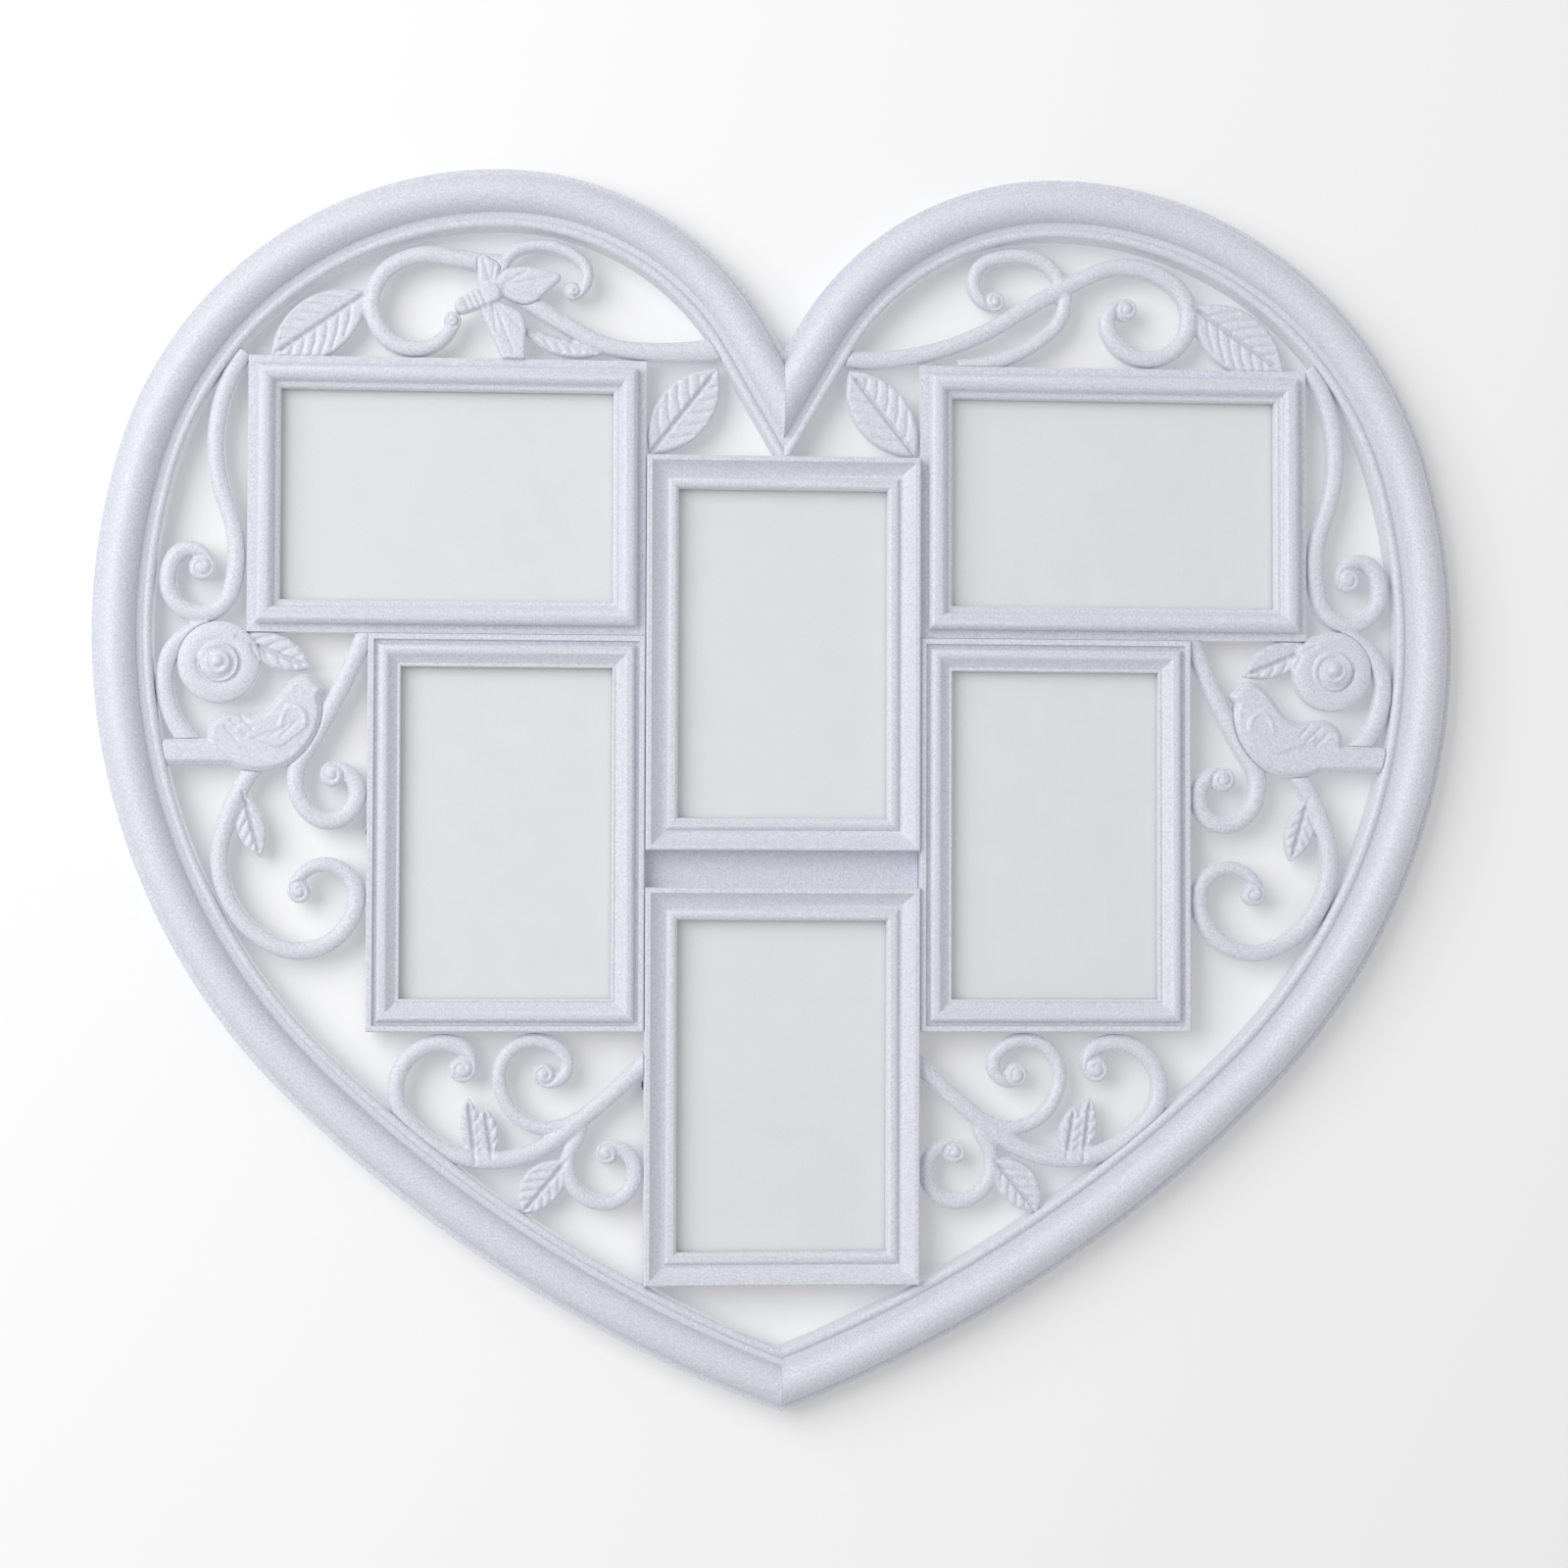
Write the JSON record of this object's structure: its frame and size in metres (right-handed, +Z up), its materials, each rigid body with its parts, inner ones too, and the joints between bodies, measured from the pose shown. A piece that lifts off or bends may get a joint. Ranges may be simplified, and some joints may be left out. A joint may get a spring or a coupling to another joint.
{
  "type": "collage photo frame",
  "caption": "Heart-shaped wall frame that shows photo prints behind panes in moulded rails, set among scrolls, leaves, birds and a butterfly inside a rounded rim.",
  "frame": {"origin": "midway between the two keyhole hangers' entry holes, on the wall plane", "axes": "+X to the viewer's right, +Y into the wall, so the front faces -Y, and +Z up"},
  "size_m": [0.5804, 0.02, 0.5255],
  "materials": {
    "moulding": "moulded, finely grained, pale blue white",
    "pane": "clear",
    "print": "plain light grey, blank",
    "board": "pressed brown board",
    "button": "black, satin",
    "steel": "zinc plated"
  },
  "bodies": {
    "frame": {"bird_left": "moulding", "bird_right": "moulding", "board_centre": "board", "board_lower": "board", "board_side_left": "board", "board_side_right": "board", "board_upper_left": "board", "board_upper_right": "board", "butterfly": "moulding", "button_screws": "steel", "frame_centre": "moulding", "frame_lower": "moulding", "frame_side_left": "moulding", "frame_side_right": "moulding", "frame_upper_left": "moulding", "frame_upper_right": "moulding", "hanger_left": "steel", "hanger_right": "steel", "hanger_screws": "steel", "leaf_notch_left": "moulding", "leaf_notch_right": "moulding", "pane_centre": "pane", "pane_lower": "pane", "pane_side_left": "pane", "pane_side_right": "pane", "pane_upper_left": "pane", "pane_upper_right": "pane", "print_centre": "print", "print_lower": "print", "print_side_left": "print", "print_side_right": "print", "print_upper_left": "print", "print_upper_right": "print", "rim_left": "moulding", "rim_right": "moulding", "rosette_left": "moulding", "rosette_right": "moulding", "scroll_base_left": "moulding", "scroll_base_right": "moulding", "scroll_lower_left": "moulding", "scroll_lower_right": "moulding", "scroll_side_left": "moulding", "scroll_side_right": "moulding", "scroll_top_left": "moulding", "scroll_top_right": "moulding", "scroll_upper_left": "moulding", "scroll_upper_right": "moulding", "web_bar": "moulding"},
    "button_upper_left_1": {"button_upper_left_1": "button"},
    "button_upper_left_2": {"button_upper_left_2": "button"},
    "button_upper_right_1": {"button_upper_right_1": "button"},
    "button_upper_right_2": {"button_upper_right_2": "button"},
    "button_side_left_1": {"button_side_left_1": "button"},
    "button_side_left_2": {"button_side_left_2": "button"},
    "button_side_right_1": {"button_side_right_1": "button"},
    "button_side_right_2": {"button_side_right_2": "button"},
    "button_centre_1": {"button_centre_1": "button"},
    "button_centre_2": {"button_centre_2": "button"},
    "button_lower_1": {"button_lower_1": "button"},
    "button_lower_2": {"button_lower_2": "button"}
  },
  "joints": [
    {"name": "turn_upper_left_1", "type": "hinge", "parent": "frame", "child": "button_upper_left_1", "pos_m": [-0.1423, -0.0032, -0.07215], "axis": [0, 1, 0], "continuous": true},
    {"name": "turn_upper_left_2", "type": "hinge", "parent": "frame", "child": "button_upper_left_2", "pos_m": [-0.1423, -0.0032, -0.18165], "axis": [0, 1, 0], "continuous": true},
    {"name": "turn_upper_right_1", "type": "hinge", "parent": "frame", "child": "button_upper_right_1", "pos_m": [0.1423, -0.0032, -0.07215], "axis": [0, 1, 0], "continuous": true},
    {"name": "turn_upper_right_2", "type": "hinge", "parent": "frame", "child": "button_upper_right_2", "pos_m": [0.1423, -0.0032, -0.18165], "axis": [0, 1, 0], "continuous": true},
    {"name": "turn_side_left_1", "type": "hinge", "parent": "frame", "child": "button_side_left_1", "pos_m": [-0.17165, -0.0032, -0.2692], "axis": [0, 1, 0], "continuous": true},
    {"name": "turn_side_left_2", "type": "hinge", "parent": "frame", "child": "button_side_left_2", "pos_m": [-0.06215, -0.0032, -0.2692], "axis": [0, 1, 0], "continuous": true},
    {"name": "turn_side_right_1", "type": "hinge", "parent": "frame", "child": "button_side_right_1", "pos_m": [0.06215, -0.0032, -0.2692], "axis": [0, 1, 0], "continuous": true},
    {"name": "turn_side_right_2", "type": "hinge", "parent": "frame", "child": "button_side_right_2", "pos_m": [0.17165, -0.0032, -0.2692], "axis": [0, 1, 0], "continuous": true},
    {"name": "turn_centre_1", "type": "hinge", "parent": "frame", "child": "button_centre_1", "pos_m": [-0.05475, -0.0032, -0.19252], "axis": [0, 1, 0], "continuous": true},
    {"name": "turn_centre_2", "type": "hinge", "parent": "frame", "child": "button_centre_2", "pos_m": [0.05475, -0.0032, -0.19252], "axis": [0, 1, 0], "continuous": true},
    {"name": "turn_lower_1", "type": "hinge", "parent": "frame", "child": "button_lower_1", "pos_m": [-0.05475, -0.0032, -0.37572], "axis": [0, 1, 0], "continuous": true},
    {"name": "turn_lower_2", "type": "hinge", "parent": "frame", "child": "button_lower_2", "pos_m": [0.05475, -0.0032, -0.37572], "axis": [0, 1, 0], "continuous": true}
  ]
}
